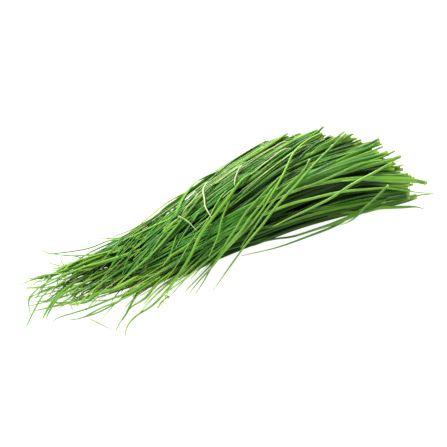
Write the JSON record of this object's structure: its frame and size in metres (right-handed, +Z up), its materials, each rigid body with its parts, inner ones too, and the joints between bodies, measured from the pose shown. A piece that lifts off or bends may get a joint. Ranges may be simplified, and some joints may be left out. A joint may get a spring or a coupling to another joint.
{
  "type": "garlic chive bunch",
  "caption": "Loose bunch of fresh garlic chives lying on its side: flat narrow green leaves, square-cut at one end, with trailing tips and a few stray leaves across.",
  "frame": {"origin": "middle of the bunch's plan extent, on the surface it lies on", "axes": "+X along the leaves from the tips to the cut ends, +Z up, -Y the side the picture is taken from"},
  "size_m": [0.2996, 0.1092, 0.0471],
  "materials": {
    "leaf_green": "fresh leaf, satin, mid green",
    "bright_leaf": "fresh leaf, satin, bright yellow-green",
    "dry_leaf": "withered leaf, matt, straw"
  },
  "bodies": {
    "root": {"leaf_bunch": "leaf_green", "loose_leaf_1": "bright_leaf", "loose_leaf_2": "bright_leaf", "loose_leaf_3": "bright_leaf", "loose_leaf_4": "bright_leaf", "loose_leaf_5": "bright_leaf", "loose_leaf_6": "bright_leaf", "loose_leaf_7": "bright_leaf", "loose_leaf_8": "bright_leaf", "loose_leaf_9": "bright_leaf", "loose_leaf_10": "bright_leaf", "loose_leaf_11": "bright_leaf", "loose_leaf_12": "bright_leaf", "loose_leaf_13": "bright_leaf", "loose_leaf_14": "bright_leaf", "loose_leaf_15": "bright_leaf", "dry_leaf_1": "dry_leaf", "dry_leaf_2": "dry_leaf", "dry_leaf_3": "dry_leaf", "dry_leaf_4": "dry_leaf", "dry_leaf_5": "dry_leaf"}
  },
  "joints": []
}
